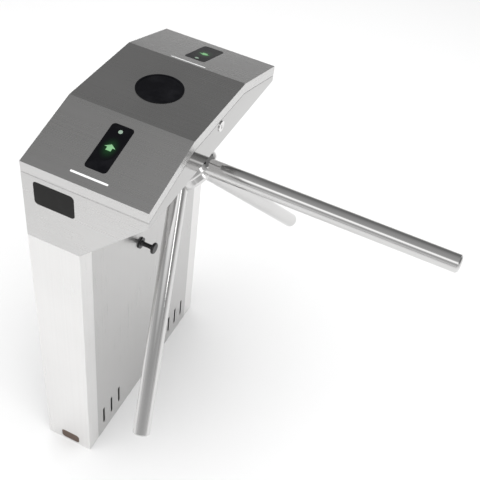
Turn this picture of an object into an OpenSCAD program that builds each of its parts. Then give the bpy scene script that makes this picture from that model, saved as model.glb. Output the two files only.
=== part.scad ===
// Visitor counter turnstile: a slim stainless pedestal with a wide head, a folding lid with two
// indicator windows and a card reader, and a three-arm rotor on a shaft tilted down at 45 degrees.
// Frame: origin on the floor at the centre of the pedestal's footprint, +Z up, +X towards the arms,
// -Y the front end with the dark counter window. Millimetres.

/* [Cabinet] */
// Height of the lid's flat top above the floor
total_h = 980; // [940:1:1020]
// Length of the cabinet from the front face to the rear face
cabinet_l = 566; // [540:1:640]
// Width of the pedestal
pedestal_w = 124; // [120:1:140]
// Width of the head
head_w = 277; // [270:1:290]
// Height where the pedestal ends and the head begins
head_z = 738; // [720:1:750]
// Length of the lid's level middle part
lid_flat_l = 227; // [200:1:260]
// Drop of the lid from its level part to each end
lid_drop = 50; // [30:1:60]
// Height of the lid's turned-down rim
lid_rim_h = 24; // [18:1:30]
// Thickness of the pedestal's sheet
pedestal_sheet = 2; // [1.5:0.5:3]
// Thickness of the head's and the lid's sheet
head_sheet = 1.5; // [1:0.5:2]
// Width of the return flanges of the front and rear covers
cover_return = 43; // [35:1:60]
// Thickness of the steel base plate
base_t = 15; // [10:1:20]

/* [Tripod] */
// Height of the point where the three arms' axes meet
apex_z = 831; // [820:1:840]
// Distance of that point from the pedestal's middle plane
apex_x = 140; // [134:1:146]
// Angle between each arm and the rotor's axis
arm_splay = 47; // [45:0.5:50]
// Turn of the rotor at rest from an arm exactly square to the cabinet
rest_turn = 3; // [0:0.1:5]
// Length from the meeting point to an arm's end
arm_reach = 611; // [560:1:620]
// Outer diameter of an arm
arm_d = 38; // [32:1:38]
// Wall thickness of an arm's tube
arm_wall = 1.5; // [1.2:0.1:2]
// Diameter of the round plate behind the hub
hub_plate_d = 112; // [106:1:116]
// Diameter of the hub
hub_d = 120; // [118:1:124]

/* [Mechanism] */
// Diameter of the main shaft
shaft_d = 25; // [25:1:30]
// Outer diameter of the two ball bearings
bearing_d = 52; // [52:1:62]
// Width of a ball bearing
bearing_w = 15; // [12:1:16]
// Gear module
gear_m = 1.5; // [1:0.25:2]
// Teeth of the rotor's gear
gear_teeth = 60; // [50:1:72]
// Teeth of the damper's pinion
pinion_teeth = 20; // [16:1:24]
// Diameter of the index disc
disc_d = 120; // [110:1:130]
// Slots around the index disc
disc_slots = 12; // [6:6:12]
// Width of a slot in the index disc
slot_w = 8; // [7:0.5:10]

/* [Fittings] */
// Radius of the card reader's window
reader_r = 50; // [40:1:55]
// Size of an indicator window across and along the cabinet
display_size = [49, 108]; // [40:1:120]
// Size of a light slit
slit_size = [82, 4.5]; // [4:0.5:100]
// Size of the counter window in the front face
window_size = [91, 57]; // [40:1:100]
// Radius of the anchor bolt holes
anchor_r = 7; // [6:0.5:8]
// Distance between anchor holes across and along the pedestal
anchor_pitch = [72, 440]; // [60:1:480]
// Radius of the cable entry in the base plate
cable_r = 25; // [20:1:30]

/* [Hidden] */
$fn = 64;

half_l = cabinet_l / 2;
half_p = pedestal_w / 2;
head_x0 = -half_p;
head_x1 = head_w - half_p;
head_mid = (head_x0 + head_x1) / 2;
half_flat = lid_flat_l / 2;
seam = 0.5;                              // half the gap between neighbouring sheets
slope = lid_drop / (half_l - half_flat); // fall of the lid's ends
shoulder_z = head_z + head_x1 - half_p;  // top of the slanted face
root2 = sqrt(2);

// Stations along the rotor's axis, counted from the arms' meeting point, positive outwards.
face_s = (apex_z - apex_x - head_z + half_p) / root2; // outside of the slanted face
plate_s = [-4, 2];
flange_s = [plate_s[1], face_s - head_sheet - 1];
hub_plate_s = [face_s + 3.5, face_s + 8.5];
hub_s = [hub_plate_s[1], hub_plate_s[1] + 42.5];
housing_end_s = -60;
gear_s = [-74, -66];
disc_s = [-90, -84];
nut_s = [-99, -90];
shaft_s = [-104, hub_plate_s[1] + 10];
bearing_s = [housing_end_s + 1, flange_s[1] - bearing_w];

pitch_r = gear_m * gear_teeth / 2;
pinion_r = gear_m * pinion_teeth / 2;
pawl_pivot = [68, 45];                   // from the disc's axis: outwards, and along its rim
pawl_swing = 10;                         // turn of a pawl from released to locked
tooth_depth = 6.5;                       // of a locked tooth in its slot
tail = 22;                               // from a pawl's pin to its fork
lid_hinge = [head_x0 - 4, total_h - lid_rim_h - 0.5];
lock_at = [6, 940];                      // y and z of the lid lock
knob_at = [-38, 564];                    // y and z of the panel latch
indicator_y = [-190, 203.5];
slit_y = [-261.5, 123];
louvre_y = [138, 175, 212];
louvre_size = [64, 8];
bolt_ring_r = 48;                        // of the bolts that join the hub to its plate
arm_start = 52;                          // of an arm's tube, from the arms' meeting point
cap_l = 9;
grub_s = hub_s[0] + 5.5;                 // of the grub screws that clamp the arms
grub_turn = 15;                          // between an arm and the grub screws beside it
post_w = 30;
post_t = 3;
post_x = half_p - pedestal_sheet;
post_y = half_l - pedestal_sheet;
rail_h = 40;
keeper_x = half_p - 11.5;                // of the bar that the panel's latch tongue turns behind
slot_size = [52, 32];                    // of the slot at the foot of each end cover
slot_r = 9;
slot_at = [3, 21];
window_at = [9.5, 864];                  // x and z of the counter window
shaft_opening_r = 50;                     // in the head's slanted face
wiring_hole = [[-48, -230], [8, 230]];   // in the head's floor
hinge_half = 100;
knuckle = 25;
hinge_r = 4;
catch_x = [head_x1 - 22, head_x1 - 10];
damper_s = [housing_end_s + 2, plate_s[0]];
disc_r = disc_d / 2;
tooth_w = [4, 5.5];                      // of a pawl's tooth, at its tip and at its root
neck_r = 1.2;
neck_l = 3.4;                            // half the length of a plunger's neck
fork_x = pawl_pivot[0];
spring_room = 10;
spring_wire = 1.5;
solenoid_x = [fork_x + 14, fork_x + 52];
wall_x = -half_p + pedestal_sheet;       // inside of the left side panel

// ---- helpers ----

// Height of the lid's outer surface at a place along the cabinet
function lid_z(y) = total_h - max(0, abs(y) - half_flat) * slope;

// The lid's profile lowered by two amounts, as a closed outline in Y and Z
function lid_band(low, high, reach) = concat(
    [for (y = [-reach, -half_flat, half_flat, reach]) [y, lid_z(y) - high]],
    [for (y = [reach, half_flat, -half_flat, -reach]) [y, lid_z(y) - low]]);

module along_x(x0, x1) { translate([x0, 0, 0]) rotate([90, 0, 90]) linear_extrude(x1 - x0) children(); }
module along_y(y0, y1) { translate([0, y1, 0]) rotate([90, 0, 0]) linear_extrude(y1 - y0) children(); }
module turned_x(x0, x1, r) { translate([x0, 0, 0]) rotate([0, 90, 0]) cylinder(h = x1 - x0, r = r); }
module box(low, high) { translate(low) cube(high - low); }
module mirrored_y() { children(); mirror([0, 1, 0]) children(); }

// Local frame of the rotor: z along its axis outwards, y along the cabinet, x down the slanted face
module on_axis() { translate([apex_x, 0, apex_z]) rotate([0, 135, 0]) children(); }
module disc(s, r) { translate([0, 0, s[0]]) cylinder(h = s[1] - s[0], r = r); }
module ring(s, r_out, r_in) { difference() { disc(s, r_out); disc([s[0] - 1, s[1] + 1], r_in); } }
module on_arm(i) {
    on_axis() rotate([0, 0, 180 + rest_turn + 120 * i]) rotate([0, arm_splay, 0]) children();
}

module rounded(size, r) {
    square([size[0] - 2 * r, size[1]], center = true);
    square([size[0], size[1] - 2 * r], center = true);
    for (sx = [-1, 1], sy = [-1, 1])
        translate([sx * (size[0] / 2 - r), sy * (size[1] / 2 - r)]) circle(r);
}

// The head's cross-section inside a wall of the given thickness; the slanted side faces the arms
module head_section(wall, z0, z1) {
    polygon([[head_x0 + wall, z0], [z0 - head_z + half_p - wall * root2, z0],
        [head_x1 - wall, shoulder_z + wall * (root2 - 1)], [head_x1 - wall, z1],
        [head_x0 + wall, z1]]);
}

// A block under the lid's surface, between two depths
module under_lid(centre, size, r, top, bottom) {
    intersection() {
        translate([centre[0], centre[1], total_h - 120]) linear_extrude(130) rounded(size, r);
        along_x(centre[0] - size[0], centre[0] + size[0]) polygon(lid_band(bottom, top, half_l));
    }
}

module capsule(size) {
    square([size[0] - size[1], size[1]], center = true);
    for (side = [-1, 1]) translate([side * (size[0] - size[1]) / 2, 0]) circle(d = size[1]);
}

// ---- pedestal ----

module base_plate() {
    color("dimgray") difference() {
        box([-half_p + pedestal_sheet, -half_l + pedestal_sheet, 0],
            [half_p - pedestal_sheet, half_l - pedestal_sheet, base_t]);
        for (sx = [-1, 1], sy = [-1, 1])
            translate([sx * anchor_pitch[0] / 2, sy * anchor_pitch[1] / 2, -1])
                cylinder(h = base_t + 2, r = anchor_r);
        translate([0, 0, -1]) cylinder(h = base_t + 2, r = cable_r);
    }
}

module frame_posts() {
    color("gray") for (turn = [0, 1]) mirror([turn, 0, 0]) mirrored_y()
        translate([-post_x, -post_y, base_t]) linear_extrude(head_z - base_t - 2)
            polygon([[0, 0], [post_w, 0], [post_w, post_t], [post_t, post_t],
                [post_t, post_w], [0, post_w]]);
}

module frame_rails() {
    color("gray") {
        for (sx = [-1, 1]) translate([sx * (post_x - 1.5), 0, head_z - 2 - rail_h / 2])
            cube([3, 2 * (post_y - post_w), rail_h], center = true);
        for (sy = [-1, 1]) translate([0, sy * (post_y - 1.5), head_z - 2 - rail_h / 2])
            cube([2 * (post_x - post_w), 3, rail_h], center = true);
        box([keeper_x, -post_y + post_t, knob_at[1] + 16], [keeper_x + 3, post_y - post_t, knob_at[1] + 40]);
    }
}

module end_cover() {
    t = pedestal_sheet;
    difference() {
        linear_extrude(head_z) polygon([[-half_p, -half_l], [half_p, -half_l],
            [half_p, -half_l + cover_return - seam], [half_p - t, -half_l + cover_return - seam],
            [half_p - t, -half_l + t], [-half_p + t, -half_l + t],
            [-half_p + t, -half_l + cover_return - seam], [-half_p, -half_l + cover_return - seam]]);
        translate([slot_at[0], -half_l, slot_at[1]]) along_y(-5, 5) rounded(slot_size, slot_r);
    }
}

module front_cover() { color("gainsboro") end_cover(); }
module rear_cover() { color("gainsboro") mirror([0, 1, 0]) end_cover(); }

module foot_slot_liners() {
    color([0.3, 0.22, 0.15]) mirrored_y() translate([slot_at[0], -half_l, slot_at[1]])
        along_y(0.6, pedestal_sheet) rounded(slot_size - [0.2, 0.2], slot_r - 0.1);
}

module side_sheet() {
    t = pedestal_sheet;
    edge = half_l - cover_return + seam;
    box([half_p - t, -edge, 0], [half_p, edge, head_z]);
}

module right_side_panel() {
    color("silver") difference() {
        side_sheet();
        mirrored_y() for (y = louvre_y)
            translate([half_p, y, 70]) along_x(-5, 5) rotate(90) capsule(louvre_size);
        translate([0, knob_at[0], knob_at[1]]) turned_x(half_p - 5, half_p + 5, 9);
    }
}

module left_side_panel() { color("silver") mirror([1, 0, 0]) side_sheet(); }

// ---- head ----

module head_shell() {
    color("silver") difference() {
        along_y(-half_l + head_sheet, half_l - head_sheet) head_section(0, head_z, total_h);
        along_y(-half_l, half_l) head_section(head_sheet, head_z + head_sheet, total_h + 1);
        translate([0, 0, head_z]) box([wiring_hole[0][0], wiring_hole[0][1], -1],
            [wiring_hole[1][0], wiring_hole[1][1], head_sheet + 1]);
        along_x(head_x0 - 1, head_x1 + 1)
            polygon(concat([[half_l, total_h + 9], [-half_l, total_h + 9]],
                [for (y = [-half_l, -half_flat, half_flat, half_l]) [y, lid_z(y) - lid_rim_h - 1]]));
        on_axis() disc([face_s - 10, face_s + 10], shaft_opening_r);
        translate([0, lock_at[0], lock_at[1]]) turned_x(head_x1 - 5, head_x1 + 5, 9.5);
    }
}

module end_plate() {
    z1 = lid_z(half_l) - lid_rim_h - 1;
    along_y(-half_l, -half_l + head_sheet) head_section(0, head_z, z1);
}

module head_front_plate() {
    color("silver") difference() {
        end_plate();
        translate([window_at[0], 0, window_at[1]])
            along_y(-half_l - 1, -half_l + 5) rounded(window_size, 8);
    }
}

module head_rear_plate() { color("silver") mirror([0, 1, 0]) end_plate(); }

module counter_window() {
    color([0.2, 0.2, 0.21]) translate([window_at[0], 0, window_at[1]]) {
        along_y(-half_l + 0.3, -half_l + head_sheet) rounded(window_size - [0.4, 0.4], 7.8);
        along_y(-half_l + head_sheet, -half_l + head_sheet + 3) rounded(window_size + [12, 12], 10);
    }
}

module counter_board() {
    y = -half_l + head_sheet + 3;
    color("green") translate([window_at[0], y, window_at[1]]) {
        box([-48, 10, -30], [48, 11.6, 30]);
        for (k = [-1.5:1:1.5]) translate([k * 22 - 9, 3, -15]) cube([18, 7, 30]);
        for (sx = [-1, 1], sz = [-1, 1]) translate([sx * 44, 0, sz * 26]) rotate([-90, 0, 0])
            cylinder(h = 10, r = 3);
    }
}

// ---- lid ----

module lid() {
    s = head_sheet;
    color("gray") difference() {
        along_x(head_x0, head_x1) polygon(lid_band(lid_rim_h, 0, half_l));
        along_x(head_x0 + s, head_x1 - s) polygon(lid_band(lid_rim_h + 5, s * 1.04, half_l - s));
        translate([head_mid, 0, total_h - 5]) cylinder(h = 10, r = reader_r - 1);
        for (y = indicator_y) translate([head_mid, y, total_h - 90]) linear_extrude(100)
            rounded(display_size, 8);
        for (y = slit_y) translate([head_mid, y, total_h - 90]) linear_extrude(100)
            capsule(slit_size);
    }
}

module reader_window() {
    color("black") translate([head_mid, 0, 0]) {
        translate([0, 0, total_h - head_sheet]) cylinder(h = head_sheet, r = reader_r - 1.1);
        translate([0, 0, total_h]) difference() {
            cylinder(h = 1.2, r = reader_r);
            translate([0, 0, 0.4]) cylinder(h = 1, r = reader_r - 4);
        }
    }
}

module reader_module() {
    z = total_h - head_sheet;
    color("darkgreen") translate([head_mid, 0, z]) {
        translate([0, 0, -8]) linear_extrude(1.6) rounded([104, 104], 6);
        for (r = [30, 34, 38]) translate([0, 0, -6.4]) difference() {
            cylinder(h = 1, r = r + 1);
            translate([0, 0, -1]) cylinder(h = 3, r = r - 1);
        }
        translate([-10, -10, -6.4]) cube([20, 20, 3]);
    }
    color("darkgreen") for (sx = [-1, 1], sy = [-1, 1])
        translate([head_mid + sx * 46, sy * 46, z - 6.4]) cylinder(h = 6.4 - 0.06, r = 3);
}

module indicator_windows() {
    color("black") for (y = indicator_y) {
        under_lid([head_mid, y], display_size - [0.4, 0.4], 7.8, 0.3, 1.56);
        under_lid([head_mid, y], display_size + [14, 14], 10, 1.56, 4);
    }
}

module indicator_boards() {
    color("darkgreen") for (y = indicator_y) {
        under_lid([head_mid, y], display_size + [12, 12], 6, 9, 10.6);
        for (sx = [-1, 1], sy = [-1, 1])
            under_lid([head_mid + sx * 26, y + sy * 54], [6, 6], 2.9, 4, 9);
        for (row = [-2:2], column = [-1:1])
            under_lid([head_mid + column * 12, y + row * 18], [5, 5], 2.4, 6, 9);
    }
}

module light_bars() {
    color("white") for (y = slit_y) {
        under_lid([head_mid, y], slit_size - [0.3, 0.3], slit_size[1] / 2 - 0.2, 0.2, 1.56);
        under_lid([head_mid, y], slit_size + [10, 3], 3, 1.56, 7);
    }
}

// ---- lid hinge, catch and lock ----

module leaf(z0, z1, first) {
    difference() {
        union() {
            box([head_x0 - 1.5, -hinge_half, z0], [head_x0, hinge_half, z1]);
            for (y = [-hinge_half + first * knuckle : 2 * knuckle : hinge_half - 1])
                translate([lid_hinge[0], y + 0.25, lid_hinge[1]]) rotate([-90, 0, 0])
                    cylinder(h = knuckle - 0.5, r = hinge_r);
        }
        translate([lid_hinge[0], -hinge_half - 1, lid_hinge[1]]) rotate([-90, 0, 0])
            cylinder(h = 2 * hinge_half + 2, r = 2.05);
        for (y = [-hinge_half + (1 - first) * knuckle : 2 * knuckle : hinge_half - 1])
            translate([lid_hinge[0], y, lid_hinge[1]]) rotate([-90, 0, 0])
                cylinder(h = knuckle, r = hinge_r + 0.4);
    }
}

module hinge_fixed_leaf() { color("silver") leaf(lid_hinge[1] - 22, lid_hinge[1] - 1, 0); }
module hinge_lid_leaf() { color("silver") leaf(lid_hinge[1] + 1, lid_hinge[1] + 18, 1); }

module hinge_pin() {
    color("gray") translate([lid_hinge[0], -hinge_half, lid_hinge[1]]) rotate([-90, 0, 0])
        cylinder(h = 2 * hinge_half, r = 2);
}

module lid_catch() {
    y = lock_at[0];
    top = total_h - head_sheet * 1.04;
    color("silver") {
        box([catch_x[0], y - 32, lock_at[1] - 12], [catch_x[1], y - 29, top]);
        box([catch_x[0], y - 29, lock_at[1] - 12], [catch_x[1], y - 12, lock_at[1] - 9]);
        box([catch_x[0] - 18, y - 32, top - 3], [catch_x[0], y - 12, top]);
    }
}

module lock_barrel() {
    color("silver") translate([0, lock_at[0], lock_at[1]]) difference() {
        union() {
            turned_x(head_x1 - 12, head_x1, 9.4);
            turned_x(head_x1, head_x1 + 2, 11.5);
            turned_x(head_x1 - head_sheet - 4, head_x1 - head_sheet, 13);
        }
        turned_x(head_x1 - 15, head_x1 + 5, 6.05);
    }
}

module lock_plug() {
    color("gray") translate([0, lock_at[0], lock_at[1]]) difference() {
        union() {
            turned_x(head_x1 - 17, head_x1 + 1.6, 6);
            turned_x(head_x1 - 20, head_x1 - 17, 4);
        }
        box([head_x1 - 4, -0.8, -4], [head_x1 + 5, 0.8, 4]);
    }
}

module lock_cam() {
    color("silver") translate([0, lock_at[0], lock_at[1]]) difference() {
        union() {
            turned_x(head_x1 - 20, head_x1 - 17, 8);
            box([head_x1 - 20, -4, 0], [head_x1 - 17, 4, 24]);
        }
        turned_x(head_x1 - 21, head_x1 - 16, 4);
    }
}

// ---- side panel latch ----

module knob_bush() {
    color([0.12, 0.12, 0.12]) translate([0, knob_at[0], knob_at[1]]) difference() {
        union() {
            turned_x(half_p, half_p + 4, 14);
            turned_x(half_p - pedestal_sheet - 6, half_p, 8.9);
            turned_x(half_p - pedestal_sheet - 5, half_p - pedestal_sheet, 13);
        }
        turned_x(half_p - 12, half_p + 5, 5.05);
    }
}

module latch_knob() {
    x0 = half_p + 4.4;
    color([0.1, 0.1, 0.1]) translate([0, knob_at[0], knob_at[1]]) {
        translate([x0, 0, 0]) rotate([0, 90, 0]) rotate_extrude()
            polygon([[0, 0], [8, 0], [6, 3], [5.5, 8], [5.5, 22], [7, 26], [12.5, 28.5], [14, 30],
                [14, 33], [12.5, 35], [0, 35]]);
        turned_x(half_p - 16, x0, 5);
    }
}

module latch_tongue() {
    color("silver") translate([0, knob_at[0], knob_at[1]]) difference() {
        union() {
            turned_x(half_p - 15, half_p - 12, 11);
            box([half_p - 15, -8, 0], [half_p - 12, 8, 42]);
        }
        turned_x(half_p - 17, half_p - 10, 5);
    }
}

// ---- rotor ----

module mechanism_plate() {
    color("gray") on_axis() difference() {
        translate([-86, -150, plate_s[0]]) cube([172, 300, plate_s[1] - plate_s[0]]);
        disc([plate_s[0] - 1, plate_s[1] + 1], 34.2);
    }
}

module plate_brackets() {
    lower = apex_x + (plate_s[0] - 86) / root2;
    upper = apex_x + (plate_s[0] + 40) / root2;
    rise = apex_z - apex_x - plate_s[0] * root2;
    foot = head_z + head_sheet;
    color("gray") mirrored_y() along_y(-150, -145)
        polygon([[12, foot], [half_p - 4, foot], [lower, lower + rise], [upper, upper + rise],
            [90, foot + 130], [12, foot + 40]]);
}

module bearing_housing() {
    seat = bearing_d / 2;
    middle = seat - 4;
    color("lightgray") on_axis() difference() {
        union() {
            disc([housing_end_s, flange_s[0]], 34);
            disc(flange_s, 48);
        }
        disc([housing_end_s - 1, flange_s[1] + 1], middle);
        disc([bearing_s[0] - 2, bearing_s[0] + bearing_w], seat);
        disc([bearing_s[1], flange_s[1] + 1], seat);
        for (i = [0:5]) rotate([0, 0, 30 + 60 * i]) translate([41, 0, flange_s[0] - 1])
            cylinder(h = 20, r = 2.6);
    }
}

module bearings() {
    bore = shaft_d / 2 + 0.04;
    seat = bearing_d / 2 - 0.01;
    color("silver") on_axis() for (s = bearing_s) difference() {
        ring([s, s + bearing_w], seat, bore);
        for (side = [s - 1, s + bearing_w - 0.8]) ring([side, side + 1.8], seat - 4, bore + 4);
    }
}

module housing_screws() {
    color("gray") on_axis() for (i = [0:5]) rotate([0, 0, 30 + 60 * i]) translate([41, 0, 0]) {
        disc([flange_s[0] + 0.02, flange_s[1] + 0.4], 2.5);
        disc([flange_s[1] + 0.02, flange_s[1] + 0.8], 4.5);
    }
}

module main_shaft() {
    r = shaft_d / 2;
    color("silver") on_axis() {
        disc(shaft_s, r);
        disc([flange_s[1] + 0.6, hub_plate_s[0]], 19);
    }
}

module hub_plate() {
    color("silver") on_axis() difference() {
        disc(hub_plate_s, hub_plate_d / 2);
        disc([hub_plate_s[0] - 1, hub_plate_s[1] + 1], shaft_d / 2);
        on_bolts() disc([hub_plate_s[0] - 1, hub_plate_s[1] + 1], 3);
        on_bolts() disc([hub_plate_s[0] - 1, hub_plate_s[0] + 2.5], 5.5);
    }
}

// Places of the bolts through the hub's plate, two between each pair of arms
module on_bolts() {
    for (i = [0:5]) rotate([0, 0, rest_turn + 30 + 60 * i]) translate([bolt_ring_r, 0, 0]) children();
}

module hub_plate_bolts() {
    color([0.25, 0.25, 0.25]) on_axis() on_bolts() {
        disc([hub_plate_s[0] + 1, hub_plate_s[1] + 10], 2.95);
        disc([hub_plate_s[0] + 0.1, hub_plate_s[0] + 2.45], 5.4);
    }
}

module arm_core(r, s0, s1) { translate([0, 0, s0]) cylinder(h = s1 - s0, r = r); }

// Places of the grub screws in the hub's rim, two beside each arm; z points outwards
module on_grub_screws() {
    on_axis() for (i = [0:2], side = [-1, 1])
        rotate([0, 0, 180 + rest_turn + 120 * i + side * grub_turn]) translate([0, 0, grub_s])
            rotate([0, 90, 0]) children();
}

module hub() {
    r = hub_d / 2;
    h = hub_s[1] - hub_s[0];
    nose_r = r - 14;
    color("silver") difference() {
        on_axis() translate([0, 0, hub_s[0]]) rotate_extrude()
            polygon([[0, 0], [r - 2, 0], [r, 2], [r, h / 2 - 5], [r - 1.5, h / 2 - 1.5],
                [r - 5, h / 2], [nose_r + 2, h / 2], [nose_r, h / 2 + 2], [nose_r, h - 9],
                [nose_r - 4, h - 3], [nose_r - 13, h], [0, h]]);
        on_axis() disc([hub_s[0] - 1, shaft_s[1]], shaft_d / 2);
        on_axis() on_bolts() disc([hub_s[0] - 1, hub_plate_s[1] + 11], 3);
        on_grub_screws() disc([r - 5.7, r + 1], 3.1);
        for (i = [0:2]) on_arm(i) arm_core(arm_d / 2, arm_start, 200);
    }
}

module arm(i) {
    color("silver") on_arm(i) difference() {
        arm_core(arm_d / 2, arm_start, arm_reach - cap_l);
        arm_core(arm_d / 2 - arm_wall, arm_start + 12, arm_reach);
    }
}

module arm_1() { arm(0); }
module arm_2() { arm(1); }
module arm_3() { arm(2); }

module arm_end_caps() {
    color("silver") for (i = [0:2]) on_arm(i) {
        translate([0, 0, arm_reach - cap_l]) rotate_extrude()
            polygon([[0, 0], [arm_d / 2, 0], [arm_d / 2, 4], [arm_d / 2 - 3, cap_l - 2],
                [arm_d / 2 - 8, cap_l], [0, cap_l]]);
        arm_core(arm_d / 2 - arm_wall - 0.02, arm_reach - cap_l - 20, arm_reach - cap_l);
    }
}

module arm_screws() {
    r = hub_d / 2;
    color([0.25, 0.25, 0.25]) on_grub_screws() difference() {
        disc([r - 5.5, r - 0.6], 3.05);
        translate([0, 0, r - 3.4]) cylinder(h = 4, r = 1.7, $fn = 6);
    }
}

// Radius and angle along one involute flank, from its foot to its tip, turned so that it meets the
// pitch circle at the given angle; side is 1 or -1
function flank(base_r, low_r, tip_r, pitch, angle, side, steps = 5) =
    let (at = function (r) sqrt(max(0, (r / base_r) ^ 2 - 1)),
         swing = function (t) t * 180 / PI - atan(t),
         t0 = at(pitch))
    [for (k = [0:steps])
        let (t = at(low_r) + (at(tip_r) - at(low_r)) * k / steps,
             r = base_r * sqrt(1 + t * t),
             a = angle + side * (swing(t) - swing(t0)))
        [r, a]];

function polar(p) = [p[0] * cos(p[1]), p[0] * sin(p[1])];

// Outline of a spur gear with some backlash
module gear_outline(teeth, backlash = 0.25) {
    pitch = gear_m * teeth / 2;
    base_r = pitch * cos(20);
    tip_r = pitch + gear_m * 0.9;
    foot_r = pitch - gear_m * 1.25;
    low_r = max(base_r, foot_r + 0.2);
    half = 90 / teeth - backlash / 2 / pitch * 180 / PI;
    polygon([for (i = [0:teeth - 1]) let (mid = i * 360 / teeth,
        up = flank(base_r, low_r, tip_r, pitch, mid - half, 1),
        down = flank(base_r, low_r, tip_r, pitch, mid + half, -1))
        each concat([polar([foot_r, up[0][1]])], [for (p = up) polar(p)],
            [for (k = [len(down) - 1 : -1 : 0]) polar(down[k])], [polar([foot_r, down[0][1]])])]);
}

module rotor_gear() {
    color("gray") on_axis() difference() {
        union() {
            translate([0, 0, gear_s[0]]) linear_extrude(gear_s[1] - gear_s[0])
                gear_outline(gear_teeth);
            disc([disc_s[1], gear_s[0]], 20);
        }
        disc([disc_s[0] - 1, 0], shaft_d / 2);
    }
}

module index_disc() {
    color("silver") on_axis() difference() {
        disc(disc_s, disc_d / 2);
        disc([disc_s[0] - 1, disc_s[1] + 1], shaft_d / 2);
        for (i = [0:disc_slots - 1]) rotate([0, 0, i * 360 / disc_slots])
            translate([disc_d / 2 - 8, -slot_w / 2, disc_s[0] - 1]) cube([20, slot_w, 20]);
    }
}

module shaft_nut() {
    color("gray") on_axis() difference() {
        translate([0, 0, nut_s[0]]) cylinder(h = nut_s[1] - nut_s[0], r = 20, $fn = 6);
        disc([nut_s[0] - 1, nut_s[1] + 1], shaft_d / 2);
    }
}

// The damper stands on the plate above the shaft, and its pinion runs in the rotor's gear
module on_damper() { on_axis() translate([-pitch_r - pinion_r, 0, 0]) children(); }

module damper() {
    color([0.15, 0.15, 0.16]) on_damper() difference() {
        union() {
            disc(damper_s, 20);
            disc([plate_s[0] - 5, plate_s[0]], 25);
        }
        disc([damper_s[0] - 1, damper_s[0] + 30], 4.05);
    }
}

module damper_pinion() {
    color("gray") on_damper() {
        translate([0, 0, gear_s[0]]) linear_extrude(gear_s[1] - gear_s[0])
            rotate(180 / pinion_teeth) gear_outline(pinion_teeth);
        disc([gear_s[0] - 3, damper_s[0] + 29], 4);
    }
}

// ---- locking pawls; the front one is drawn, the rear one is its mirror image ----

// A pawl's frame: x outwards from the disc, y along its rim
module pawl_frame(side) { on_axis() mirror([0, side > 0 ? 1 : 0, 0]) rotate([0, 0, -90]) children(); }

module about_pivot(angle) {
    translate(pawl_pivot) rotate(angle) translate(-pawl_pivot) children();
}

// The tooth is drawn where it locks, square in a slot, and turned back to its released place
module pawl(side) {
    t = disc_s[1] - disc_s[0];
    neck_s = (disc_s[0] + disc_s[1]) / 2;
    tip_x = disc_r - tooth_depth;
    root_x = disc_r + 10;
    color("darkgray") pawl_frame(side) difference() {
        translate([0, 0, disc_s[0]]) linear_extrude(t) union() {
            translate(pawl_pivot) circle(9);
            about_pivot(pawl_swing)
                polygon([[tip_x, -tooth_w[0] / 2], [root_x, -tooth_w[1] / 2],
                    [root_x, tooth_w[1] / 2], [tip_x, tooth_w[0] / 2]]);
            translate([disc_r + 9, -4]) square([8, pawl_pivot[1] + 4]);
            translate([fork_x - 2, pawl_pivot[1]]) square([4, tail + 5]);
        }
        translate([pawl_pivot[0], pawl_pivot[1], disc_s[0] - 1]) cylinder(h = t + 2, r = 4.05);
        translate([fork_x - 5, pawl_pivot[1] + tail - neck_r - 0.5, neck_s - neck_r - 0.5])
            cube([10, 10, 2 * neck_r + 1]);
    }
}

module pawl_front() { pawl(-1); }
module pawl_rear() { pawl(1); }

module pawl_pins() {
    color("silver") for (side = [-1, 1]) pawl_frame(side)
        translate([pawl_pivot[0], pawl_pivot[1], 0]) {
            disc([disc_s[0] - 3, plate_s[0]], 4);
            disc([disc_s[1] + spring_room, plate_s[0]], 7);
            disc([disc_s[0] - 4, disc_s[0] - 0.6], 6.5);
        }
}

// Return springs of flat wire, coiled round the pawls' pins, with a leg at each end
module pawl_springs() {
    coil_r = 6.2;
    turns = 4;
    low = disc_s[1] + 0.6;
    pitch = (spring_room - 0.9 - spring_wire) / (turns - 1);
    high = low + (turns - 1) * pitch;
    color("silver") for (side = [-1, 1]) pawl_frame(side)
        translate([pawl_pivot[0], pawl_pivot[1], 0]) {
            for (i = [0:turns - 1])
                ring([low + i * pitch, low + i * pitch + spring_wire], coil_r, coil_r - spring_wire);
            box([coil_r - spring_wire, -22, low], [coil_r, 0, low + spring_wire]);
            box([0, coil_r - spring_wire, high], [22, coil_r, high + spring_wire]);
        }
}

module on_plunger(side) {
    pawl_frame(side) translate([0, pawl_pivot[1] + tail, (disc_s[0] + disc_s[1]) / 2]) children();
}

module solenoids() {
    color([0.2, 0.2, 0.22]) for (side = [-1, 1]) on_plunger(side) difference() {
        union() {
            box([solenoid_x[0], -13, -13], [solenoid_x[1], 13, 13]);
            box([solenoid_x[0] + 4, -10, 13], [solenoid_x[1] - 4, 10, 83]);
        }
        turned_x(solenoid_x[0] - 1, solenoid_x[1] - 3, 5.05);
    }
}

module plunger(side) {
    color("silver") on_plunger(side) {
        turned_x(fork_x - neck_l - 2, fork_x - neck_l, 4.5);
        turned_x(fork_x - neck_l, fork_x + neck_l, neck_r);
        turned_x(fork_x + neck_l, solenoid_x[1] - 12, 5);
    }
}

module plunger_front() { plunger(-1); }
module plunger_rear() { plunger(1); }

// A slotted light gate that reads the index disc's slots
module position_sensor() {
    color("black") on_axis() difference() {
        union() {
            box([disc_r - 12, -9, disc_s[0] - 8], [disc_r + 14, 9, disc_s[1] + 10]);
            box([disc_r + 2, -9, disc_s[1]], [disc_r + 14, 9, plate_s[0]]);
        }
        box([disc_r - 13, -10, disc_s[0] - 2.5], [disc_r + 3, 10, disc_s[1] + 2.5]);
    }
}

// ---- electrics in the pedestal ----

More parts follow.
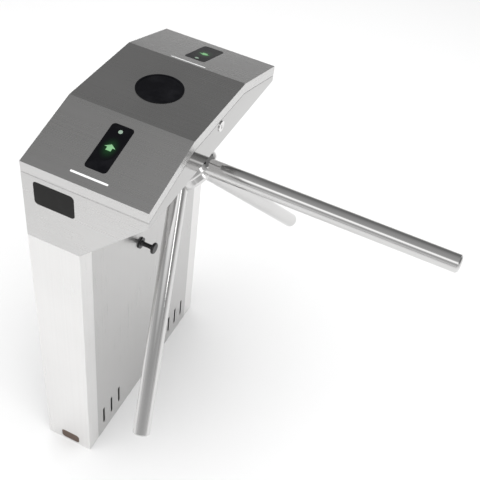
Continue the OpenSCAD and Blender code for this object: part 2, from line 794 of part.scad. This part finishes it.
module control_board() {
    color("darkgreen") {
        translate([wall_x, 40, 490]) {
            box([8, 0, 0], [9.6, 160, 180]);
            for (y = [6, 154], z = [6, 174]) translate([0, y, z]) turned_x(0, 8, 3);
            for (k = [0:4]) box([9.6, 12 + 29 * k, 150], [20, 32 + 29 * k, 164]);
            box([9.6, 55, 70], [12.6, 85, 100]);
            for (k = [0:3]) translate([0, 20 + 18 * k, 25]) turned_x(9.6, 27, 6);
        }
    }
}

module power_supply() {
    color("lightgray") difference() {
        box([wall_x, -200, 300], [wall_x + 40, -100, 480]);
        for (k = [0:9]) box([wall_x + 38, -190, 316 + 12 * k], [wall_x + 41, -130, 322 + 12 * k]);
    }
}

module transformer() {
    color("dimgray") {
        box([wall_x, 60, base_t], [wall_x + 64, 150, base_t + 6]);
        box([wall_x + 4, 70, base_t + 6], [wall_x + 60, 140, base_t + 90]);
    }
}

module battery() {
    color([0.15, 0.15, 0.18]) {
        box([wall_x, -200, base_t], [wall_x + 65, -49, base_t + 94]);
        for (y = [-185, -64]) box([wall_x + 8, y - 3, base_t + 94], [wall_x + 14, y + 3, base_t + 99]);
    }
}

base_plate();
frame_posts();
frame_rails();
front_cover();
rear_cover();
right_side_panel();
left_side_panel();
foot_slot_liners();
head_shell();
head_front_plate();
head_rear_plate();
counter_window();
counter_board();
lid();
reader_window();
reader_module();
indicator_windows();
indicator_boards();
light_bars();
hinge_fixed_leaf();
hinge_lid_leaf();
hinge_pin();
lid_catch();
lock_barrel();
lock_plug();
lock_cam();
knob_bush();
latch_knob();
latch_tongue();
mechanism_plate();
plate_brackets();
bearing_housing();
bearings();
housing_screws();
main_shaft();
hub_plate();
hub_plate_bolts();
hub();
arm_1();
arm_2();
arm_3();
arm_end_caps();
arm_screws();
rotor_gear();
index_disc();
shaft_nut();
damper();
damper_pinion();
pawl_front();
pawl_rear();
pawl_pins();
solenoids();
plunger_front();
plunger_rear();
position_sensor();
control_board();
power_supply();
transformer();
battery();
pawl_springs();
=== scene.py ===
"""Looks for the visitor counter turnstile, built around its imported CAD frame."""
import math

import bmesh
import bpy
from mathutils import Matrix, Vector


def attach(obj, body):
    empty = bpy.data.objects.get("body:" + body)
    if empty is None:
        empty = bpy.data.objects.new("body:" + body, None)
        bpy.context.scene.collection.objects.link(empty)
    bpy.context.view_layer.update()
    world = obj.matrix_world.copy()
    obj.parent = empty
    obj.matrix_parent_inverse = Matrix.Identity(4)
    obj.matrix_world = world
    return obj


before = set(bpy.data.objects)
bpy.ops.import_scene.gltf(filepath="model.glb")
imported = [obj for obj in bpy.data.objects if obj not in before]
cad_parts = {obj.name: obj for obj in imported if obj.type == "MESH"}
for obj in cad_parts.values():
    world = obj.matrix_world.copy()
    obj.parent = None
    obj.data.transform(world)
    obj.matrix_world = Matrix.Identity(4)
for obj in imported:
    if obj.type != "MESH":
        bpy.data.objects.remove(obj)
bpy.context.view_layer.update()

# ---- camera: the viewing place, and the way it looks ----
CAMERA_AT = (0.7187, -1.2111, 1.9318)
CAMERA_AZIMUTH = 19.4     # degrees, turned from looking along +Y
CAMERA_ELEVATION = 44.73  # degrees above the horizontal
CAMERA_ROLL = 8.27        # degrees
CAMERA_LENS = 60.9        # mm
SENSOR_WIDTH = 36         # mm
VIEW_REACH = 50           # m, how far the camera sees


def add_camera():
    az, el, roll = (math.radians(a) for a in (CAMERA_AZIMUTH, CAMERA_ELEVATION, CAMERA_ROLL))
    back = Vector((math.sin(az) * math.cos(el), -math.cos(az) * math.cos(el), math.sin(el)))
    right = (-back).cross(Vector((0, 0, 1))).normalized()
    up = right.cross(-back)
    turned_right = math.cos(roll) * right + math.sin(roll) * up
    turned_up = -math.sin(roll) * right + math.cos(roll) * up
    data = bpy.data.cameras.new("camera")
    data.lens = CAMERA_LENS
    data.sensor_width = SENSOR_WIDTH
    data.clip_end = VIEW_REACH
    camera = bpy.data.objects.new("camera", data)
    axes = Matrix((turned_right, turned_up, back)).transposed()
    camera.matrix_world = Matrix.Translation(CAMERA_AT) @ axes.to_4x4()
    bpy.context.scene.collection.objects.link(camera)
    bpy.context.scene.camera = camera


add_camera()


# ---- materials ----

MIX_A, MIX_B = 6, 7       # the colour inputs of a Mix node
MIX_RESULT = 2            # its colour output
EVEN = (1, 1, 1)          # a noise that is not stretched
METAL_IOR = 2.5
ACRYLIC_IOR = 1.49
ACRYLIC_SHINE = 0.12      # its specular level
BLACK_ACRYLIC = (0.003, 0.003, 0.004, 1)
GRAIN = {"x": (1.5, 500, 500), "y": (500, 1.5, 500), "z": (500, 500, 1.5)}
OTHER_AXIS = {"x": "y", "y": "z", "z": "x"}
SQUARE_FROM = 0.7         # share of the normal along an axis, from which a face is square to it
STEEL_WARMTH = 0.008


class Shader:
    """A node material under construction, with short calls for the nodes that recur."""

    def __init__(self, name, **inputs):
        self.material = bpy.data.materials.new(name)
        self.material.use_nodes = True
        self.tree = self.material.node_tree
        self.surface = self.tree.nodes["Principled BSDF"]
        for key, value in inputs.items():
            self.surface.inputs[key.replace("_", " ")].default_value = value

    def node(self, kind, inputs=None, **settings):
        made = self.tree.nodes.new(kind)
        for key, value in settings.items():
            setattr(made, key, value)
        for key, value in (inputs or {}).items():
            if isinstance(value, bpy.types.NodeSocket):
                self.tree.links.new(value, made.inputs[key])
            else:
                made.inputs[key].default_value = value
        return made

    def place(self, scale=EVEN):
        where = self.node("ShaderNodeTexCoord").outputs["Object"]
        return self.node("ShaderNodeMapping", {"Vector": where, "Scale": scale}).outputs["Vector"]

    def noise(self, scale, stretch=EVEN, detail=4.0, roughness=0.6):
        return self.node("ShaderNodeTexNoise", {
            "Vector": self.place(stretch), "Scale": scale, "Detail": detail,
            "Roughness": roughness}).outputs["Fac"]

    def between(self, value, low, high, at_low=0.0, at_high=1.0):
        return self.node("ShaderNodeMapRange", {
            "Value": value, "From Min": low, "From Max": high,
            "To Min": at_low, "To Max": at_high}).outputs["Result"]

    def mix(self, share, a, b):
        made = self.node("ShaderNodeMix", data_type="RGBA")
        sockets = (made.inputs[0], made.inputs[MIX_A], made.inputs[MIX_B])
        for socket, value in zip(sockets, (share, a, b)):
            if isinstance(value, bpy.types.NodeSocket):
                self.tree.links.new(value, socket)
            else:
                socket.default_value = value
        return made.outputs[MIX_RESULT]

    def maths(self, operation, a, b=0.0):
        return self.node("ShaderNodeMath", {0: a, 1: b}, operation=operation).outputs[0]

    def bump(self, height, strength, distance):
        return self.node("ShaderNodeBump", {
            "Height": height, "Strength": strength, "Distance": distance}).outputs["Normal"]

    def grain(self, axis, scale, detail, roughness):
        """Streaks along one axis of the object; a face square to it gets them along another."""
        normal = self.node("ShaderNodeTexCoord").outputs["Normal"]
        along = self.node("ShaderNodeSeparateXYZ", {0: normal}).outputs[axis.upper()]
        square_to_it = self.maths("GREATER_THAN", self.maths("ABSOLUTE", along), SQUARE_FROM)
        streaks, others = (self.noise(scale, GRAIN[a], detail, roughness)
                           for a in (axis, OTHER_AXIS[axis]))
        return self.between(square_to_it, 0.0, 1.0, streaks, others)

    def edges(self, radius=0.0012):
        """1 on sharp edges, which handling wears and brightens, and 0 elsewhere."""
        rounded = self.node("ShaderNodeBevel", {"Radius": radius}, samples=4).outputs["Normal"]
        flat = self.node("ShaderNodeNewGeometry").outputs["Normal"]
        likeness = self.node("ShaderNodeVectorMath", {0: rounded, 1: flat}, operation="DOT_PRODUCT")
        return self.between(likeness.outputs["Value"], 0.8, 0.98, 1.0, 0.0)

    def link(self, value, socket):
        self.tree.links.new(value, self.surface.inputs[socket])


def grey(value, warmth=0.0):
    return (value * (1 + warmth), value, value * (1 - warmth), 1)


def brushed(name, tone, grain, roughness=0.25, anisotropy=0.3):
    """Satin stainless sheet: fine grain along one axis, clouding, wiped marks and bright edges."""
    s = Shader(name, Metallic=1.0, IOR=METAL_IOR, Anisotropic=anisotropy)
    fine = s.grain(grain, 1.0, 3.0, 0.7)
    coarse = s.grain(grain, 0.3, 2.0, 0.5)
    clouds = s.noise(4.0, EVEN, 4.0, 0.5)
    wiped = s.between(s.noise(13.0, (1, 1, 0.4), 6.0, 0.65), 0.62, 0.75)
    streaks = s.maths("ADD", s.between(fine, 0.3, 0.7, -0.5, 0.5),
                      s.between(coarse, 0.35, 0.65, -0.3, 0.3))
    tint = s.between(s.maths("ADD", s.maths("MULTIPLY", streaks, 0.22), clouds), 0.25, 0.75)
    sheet = s.mix(tint, grey(tone * 0.965, STEEL_WARMTH),
                  grey(min(1.0, tone * 1.03), STEEL_WARMTH))
    worn = s.maths("MULTIPLY", s.edges(), 0.5)
    s.link(s.mix(worn, sheet, grey(min(1.0, tone * 1.2))), "Base Color")
    rough = s.maths("ADD", s.between(clouds, 0.3, 0.7, roughness - 0.03, roughness + 0.03),
                    s.maths("MULTIPLY", streaks, 0.03))
    s.link(s.maths("ADD", rough, s.maths("MULTIPLY", wiped, 0.04)), "Roughness")
    s.link(s.bump(s.maths("ADD", fine, coarse), 0.05, 0.0002), "Normal")
    return s.material


def polished(name, tone, roughness=0.12, scale=60.0):
    """Polished tube or turned metal, with faint handling marks."""
    s = Shader(name, Metallic=1.0, IOR=METAL_IOR)
    marks = s.noise(scale, EVEN, 6.0, 0.7)
    clouds = s.noise(7.0, EVEN, 4.0, 0.5)
    dull, bright = grey(tone * 0.96, 0.006), grey(tone, 0.006)
    s.link(s.mix(s.between(clouds, 0.3, 0.7), dull, bright), "Base Color")
    s.link(s.maths("ADD", s.between(clouds, 0.3, 0.7, roughness - 0.03, roughness + 0.03),
                   s.between(marks, 0.55, 0.75, 0.0, 0.05)), "Roughness")
    s.link(s.bump(marks, 0.03, 0.0002), "Normal")
    return s.material


def painted(name, color, roughness=0.5, fleck=0.12, metallic=0.0):
    """Powder coat or moulded plastic: fine orange peel, slight clouding, edges rubbed lighter."""
    s = Shader(name, Metallic=metallic)
    peel = s.noise(900.0, EVEN, 2.0, 0.5)
    clouds = s.noise(9.0, EVEN, 4.0, 0.6)
    dark = tuple(c * (1 - fleck) for c in color[:3]) + (1,)
    light = tuple(min(1.0, c * (1 + fleck) + 0.004) for c in color[:3]) + (1,)
    rubbed = tuple(min(1.0, c * 1.8 + 0.02) for c in color[:3]) + (1,)
    coat = s.mix(s.between(clouds, 0.3, 0.7), dark, light)
    s.link(s.mix(s.maths("MULTIPLY", s.edges(0.0008), 0.6), coat, rubbed), "Base Color")
    s.link(s.between(clouds, 0.3, 0.7, roughness - 0.06, roughness + 0.06), "Roughness")
    s.link(s.bump(peel, 0.12, 0.0003), "Normal")
    return s.material


def glossy(name, color, roughness=0.06):
    """Dark acrylic with a few hairline scratches and finger marks."""
    s = Shader(name, IOR=ACRYLIC_IOR, Specular_IOR_Level=ACRYLIC_SHINE)
    smudge = s.between(s.noise(22.0, EVEN, 5.0, 0.6), 0.5, 0.75)
    hair = s.between(s.noise(1.0, (30, 900, 30), 2.0, 0.5), 0.66, 0.72)
    lighter = tuple(min(1.0, c * 1.5 + 0.003) for c in color[:3]) + (1,)
    s.link(s.mix(smudge, tuple(color[:3]) + (1,), lighter), "Base Color")
    s.link(s.maths("ADD", s.between(smudge, 0, 1, roughness, roughness + 0.08),
                   s.maths("MULTIPLY", hair, 0.15)), "Roughness")
    s.link(s.bump(hair, 0.05, 0.0001), "Normal")
    return s.material


def glowing(name, color, strength, tone=0.8):
    """A lit diffuser, slightly uneven."""
    s = Shader(name, Roughness=0.5)
    uneven = s.between(s.noise(60.0, EVEN, 2.0, 0.5), 0.35, 0.65)
    dim = tuple(c * 0.8 for c in color[:3]) + (1,)
    s.link(s.mix(uneven, grey(tone * 0.95), grey(tone)), "Base Color")
    s.link(s.mix(uneven, dim, tuple(color[:3]) + (1,)), "Emission Color")
    s.surface.inputs["Emission Strength"].default_value = strength
    return s.material


def halo(name, color, base):
    """Black acrylic with light spreading under it, fading from the middle of the piece outwards."""
    s = Shader(name, Base_Color=base, Roughness=0.1, Specular_IOR_Level=ACRYLIC_SHINE)
    where = s.node("ShaderNodeTexCoord").outputs["Generated"]
    split = s.node("ShaderNodeSeparateXYZ", {0: where})
    across, along = (s.maths("SUBTRACT", split.outputs[axis], 0.5) for axis in "XY")
    reach = s.maths("SQRT", s.maths("ADD", s.maths("MULTIPLY", across, across),
                                    s.maths("MULTIPLY", along, along)))
    fade = s.between(reach, 0.0, 0.5, 1.0, 0.0)
    speckle = s.between(s.noise(300.0, EVEN, 3.0, 0.6), 0.3, 0.7, 0.7, 1.0)
    s.link(s.maths("MULTIPLY", s.maths("MULTIPLY", fade, fade), speckle), "Emission Strength")
    s.surface.inputs["Emission Color"].default_value = color
    return s.material


def circuit(name):
    """Dark green solder mask, lighter along the borders of square cells."""
    s = Shader(name, Roughness=0.35)
    tracks = s.node("ShaderNodeTexVoronoi", {"Vector": s.place(), "Scale": 260.0},
                    distance="CHEBYCHEV", feature="F1").outputs["Distance"]
    copper = s.between(tracks, 0.3, 0.36)
    s.link(s.mix(copper, (0.03, 0.16, 0.07, 1), (0.05, 0.26, 0.12, 1)), "Base Color")
    s.link(s.between(copper, 0, 1, 0.3, 0.45), "Roughness")
    s.link(s.bump(copper, 0.1, 0.0002), "Normal")
    return s.material


# The stainless parts are all one steel. Their different tones are painted light and shade, set per
# part to how brightly each face is lit, and the band's low tone is painted shade that dims its
# mirrored floor.
WALL = brushed("wall_steel", 0.79, "z", 0.3)
SIDE = brushed("side_steel", 0.565, "z", 0.3)
HEAD = brushed("head_steel", 0.58, "x", 0.26)
BAND = brushed("band_steel", 0.5, "y", 0.1, anisotropy=0.0)
LID = brushed("lid_steel", 0.61, "x", 0.28)
TUBE = polished("tube_steel", 0.66, 0.1)
HUB = polished("hub_alloy", 0.66, 0.14)
MACHINED = polished("machined_steel", 0.62, 0.28, 140.0)
GEAR = polished("gear_steel", 0.42, 0.34, 180.0)
CHROME = polished("chrome", 0.80, 0.07)
CAST = painted("cast_alloy", (0.52, 0.53, 0.54), 0.42, 0.08, 0.9)
FRAME = painted("frame_paint", (0.22, 0.23, 0.24), 0.5)
DARK_METAL = painted("black_metal", (0.03, 0.03, 0.033), 0.42)
SCREW = painted("blackened_screw", (0.05, 0.05, 0.055), 0.35, 0.2, 0.8)
BLACK = painted("black_plastic", (0.012, 0.012, 0.013), 0.38)
BRONZE = painted("bronze_plastic", (0.085, 0.045, 0.026), 0.45, 0.3)
ACRYLIC = glossy("black_acrylic", BLACK_ACRYLIC)
SMOKED = glossy("smoked_acrylic", (0.012, 0.0115, 0.011), 0.3)
DIFFUSER = glowing("diffuser", (1.0, 1.0, 1.0), 0.25, 0.6)
GREEN = glowing("green_light", (0.16, 0.62, 0.18), 0.7, 0.1)
PALE_GREEN = glowing("pale_green_light", (0.30, 0.50, 0.34), 0.6, 0.1)
HALO_GREEN = halo("halo_green", (0.012, 0.09, 0.02, 1), BLACK_ACRYLIC)
BOARD = circuit("circuit_board")

NODE_MATERIALS = {
    WALL: ["front_cover", "rear_cover"],
    SIDE: ["right_side_panel", "left_side_panel"],
    HEAD: ["head_front_plate", "head_rear_plate", "hinge_fixed_leaf", "hinge_lid_leaf"],
    BAND: ["head_shell"],
    LID: ["lid"],
    TUBE: ["arm_1", "arm_2", "arm_3", "arm_end_caps", "hub_plate"],
    HUB: ["hub"],
    MACHINED: ["hinge_pin", "lid_catch", "lock_cam", "latch_tongue", "bearings", "main_shaft",
               "index_disc", "shaft_nut", "pawl_pins", "pawl_springs", "plunger_front",
               "plunger_rear"],
    GEAR: ["rotor_gear", "damper_pinion", "pawl_front", "pawl_rear"],
    CHROME: ["lock_barrel", "lock_plug"],
    CAST: ["bearing_housing", "power_supply", "mechanism_plate", "plate_brackets"],
    FRAME: ["base_plate", "frame_posts", "frame_rails", "transformer"],
    DARK_METAL: ["damper", "solenoids"],
    SCREW: ["housing_screws", "hub_plate_bolts", "arm_screws"],
    BLACK: ["knob_bush", "latch_knob", "position_sensor", "battery"],
    BRONZE: ["foot_slot_liners"],
    ACRYLIC: ["reader_window", "indicator_windows"],
    SMOKED: ["counter_window"],
    DIFFUSER: ["light_bars"],
    BOARD: ["counter_board", "reader_module", "indicator_boards", "control_board"],
}

# Nodes whose edges get a small round, as bent and deburred sheet has
SHEET_NODES = ["front_cover", "rear_cover", "left_side_panel", "right_side_panel", "head_shell",
               "head_front_plate", "head_rear_plate", "lid", "counter_window", "foot_slot_liners",
               "hinge_fixed_leaf", "hinge_lid_leaf"]
SHEET_ROUND = 0.0006
SAME_POINT = 0.00002   # vertices closer than this are one
SAME_FACE = 0.5        # degrees, under which neighbouring triangles are one flat face
SHARP_FROM = 12        # degrees, from which an edge gets its round


def dress_cad_nodes():
    """Gives every CAD node its material, and the sheet nodes their rounded edges."""
    for material, names in NODE_MATERIALS.items():
        for name in names:
            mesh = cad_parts[name].data
            if not mesh.materials:
                mesh.materials.append(material)
            for index in range(len(mesh.materials)):
                mesh.materials[index] = material
    undressed = set(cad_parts) - {n for names in NODE_MATERIALS.values() for n in names}
    if undressed:
        raise ValueError(f"nodes with no material: {sorted(undressed)}")
    for name in SHEET_NODES:
        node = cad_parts[name]
        weld = node.modifiers.new("weld", "WELD")
        weld.merge_threshold = SAME_POINT
        merge = node.modifiers.new("whole_faces", "DECIMATE")
        merge.decimate_type = "DISSOLVE"
        merge.angle_limit = math.radians(SAME_FACE)
        bevel = node.modifiers.new("round", "BEVEL")
        bevel.width = SHEET_ROUND
        bevel.segments = 2
        bevel.limit_method = "ANGLE"
        bevel.angle_limit = math.radians(SHARP_FROM)
        node.modifiers.new("even_shading", "WEIGHTED_NORMAL")


dress_cad_nodes()


# ---- mesh helpers ----

def piece(name, build, material, body):
    """A new mesh object from a function that fills a bmesh; it rides on a CAD body."""
    mesh = bpy.data.meshes.new(name)
    made = bmesh.new()
    build(made)
    bmesh.ops.recalc_face_normals(made, faces=made.faces)
    made.to_mesh(mesh)
    made.free()
    mesh.materials.append(material)
    obj = bpy.data.objects.new(name, mesh)
    bpy.context.scene.collection.objects.link(obj)
    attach(obj, body)


def prism(made, outline, bottom, top, place):
    """A closed prism over an outline in a local plane, between two heights."""
    low = [made.verts.new(place @ Vector((x, y, bottom))) for x, y in outline]
    high = [made.verts.new(place @ Vector((x, y, top))) for x, y in outline]
    made.faces.new(low[::-1])
    made.faces.new(high)
    for i in range(len(outline)):
        j = (i + 1) % len(outline)
        made.faces.new((low[i], low[j], high[j], high[i]))


# ---- lit signs in the indicator windows ----

HALO_AT = (0.00002, 0.00006)   # heights over the window's face, bottom and top
ARROW_AT = (0.00008, 0.0002)
DOT_AT = (0.00002, 0.0002)
ARROW = ((0, 0.009), (0.012, 0.001), (0.0055, 0.001), (0.0055, -0.0065), (-0.0055, -0.0065),
         (-0.0055, 0.001), (-0.012, 0.001))
HALO = (0.021, 0.03)   # half sizes of the glow around the arrow, across and along the window
DOT_R = 0.0045
DOT_AHEAD = 0.041      # of the dot from the window's middle, towards the lid's crest
ROUND_STEPS = 40


def window_place(rear):
    """Frame on an indicator window's sloping face: x across, y up towards the crest, z outwards."""
    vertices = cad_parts["indicator_windows"].data.vertices
    points = [v.co for v in vertices if (v.co.y > 0) == rear]
    ends = (min(p.y for p in points), max(p.y for p in points))
    low, high = (max(p.z for p in points if abs(p.y - end) < 0.0001) for end in ends)
    slope = (high - low) / (ends[1] - ends[0])
    crown = max(points, key=lambda p: p.z - slope * p.y)
    middle_x = (min(p.x for p in points) + max(p.x for p in points)) / 2
    middle_y = (ends[0] + ends[1]) / 2
    middle = Vector((middle_x, middle_y, crown.z + slope * (middle_y - crown.y)))
    up = Vector((0, 1, slope)).normalized() * (-1 if rear else 1)
    across = Vector((-1 if rear else 1, 0, 0))
    turn = Matrix((across, up, across.cross(up))).transposed()
    return Matrix.Translation(middle) @ turn.to_4x4()


def oval(half_width, half_height, ahead=0.0):
    turns = (math.tau * i / ROUND_STEPS for i in range(ROUND_STEPS))
    return [(half_width * math.cos(a), ahead + half_height * math.sin(a)) for a in turns]


def add_signs():
    """A halo on the acrylic, and on it a small arrow and a status dot."""
    layers = (("halo", oval(*HALO), HALO_AT, HALO_GREEN), ("arrow", ARROW, ARROW_AT, GREEN),
              ("dot", oval(DOT_R, DOT_R, DOT_AHEAD), DOT_AT, PALE_GREEN))
    for end, rear in (("front", False), ("rear", True)):
        place = window_place(rear)
        for name, outline, heights, material in layers:
            piece(f"{end}_{name}_light", lambda made: prism(made, outline, *heights, place),
                  material, "lid")


add_signs()


# ---- floor, light ----

FLOOR_SIZE = 40                      # m
BACK_BEGINS, BACK_FULL = -0.4, 0.1   # along the direction's Y, from the front sky to the back one
# Brightness of the surroundings by height, towards the back of the studio and towards its front
BACK_SKY = ((0.0, 0.8), (0.02, 0.42), (0.1, 0.25), (0.3, 0.23), (0.7, 0.17), (0.9, 0.32),
            (1.0, 0.41))
FRONT_SKY = ((0.0, 0.9), (0.1, 0.62), (0.45, 0.42), (0.6, 1.3), (0.76, 1.5), (0.84, 0.5),
             (1.0, 0.41))
OVERHEAD_POWER = 215
SIDE_STRIP_POWER = 5


def add_floor():
    bpy.ops.mesh.primitive_plane_add(size=FLOOR_SIZE)
    floor = bpy.context.object
    floor.name = "floor"
    s = Shader("floor_white", Roughness=0.9, Specular_IOR_Level=0.1)
    s.link(s.mix(s.noise(0.6), grey(0.88), grey(0.9)), "Base Color")
    floor.data.materials.append(s.material)


def add_world():
    """A pale horizon under a grey sky, with a bright softbox high at the front."""
    world = bpy.data.worlds.new("studio")
    bpy.context.scene.world = world
    world.use_nodes = True
    nodes, links = world.node_tree.nodes, world.node_tree.links
    where = nodes.new("ShaderNodeTexCoord")
    split = nodes.new("ShaderNodeSeparateXYZ")
    links.new(where.outputs["Generated"], split.inputs[0])
    mix = nodes.new("ShaderNodeMix")
    mix.data_type = "RGBA"
    towards_back = nodes.new("ShaderNodeMapRange")
    towards_back.inputs["From Min"].default_value = BACK_BEGINS
    towards_back.inputs["From Max"].default_value = BACK_FULL
    links.new(split.outputs["Y"], towards_back.inputs["Value"])
    links.new(towards_back.outputs["Result"], mix.inputs[0])
    for sky, socket in ((FRONT_SKY, mix.inputs[MIX_A]), (BACK_SKY, mix.inputs[MIX_B])):
        ramp = nodes.new("ShaderNodeValToRGB")
        links.new(split.outputs["Z"], ramp.inputs[0])
        links.new(ramp.outputs["Color"], socket)
        stops = ramp.color_ramp.elements
        stops[0].position, stops[-1].position = sky[0][0], sky[-1][0]
        for at, _ in sky[1:-1]:
            stops.new(at)
        for stop, (_, value) in zip(stops, sky):
            stop.color = grey(value)
    links.new(mix.outputs[MIX_RESULT], nodes["Background"].inputs["Color"])


def add_area(name, at, aim, size, power, in_reflections=True):
    """A rectangular lamp; size in metres, power in watts."""
    data = bpy.data.lights.new(name, "AREA")
    data.shape = "RECTANGLE"
    data.size, data.size_y = size
    data.energy = power
    lamp = bpy.data.objects.new(name, data)
    lamp.location = at
    lamp.rotation_euler = (Vector(aim) - Vector(at)).to_track_quat("-Z", "Y").to_euler()
    lamp.visible_glossy = in_reflections
    bpy.context.scene.collection.objects.link(lamp)


add_floor()
add_world()
add_area("overhead", (0.3, 0, 4.0), (0.3, 0, 0), (6.0, 6.0), OVERHEAD_POWER,
         in_reflections=False)
add_area("side_strip", (2.6, -1.0, 2.2), (0.2, 0, 0.6), (0.2, 1.6), SIDE_STRIP_POWER)

bpy.context.scene.view_settings.view_transform = "Standard"
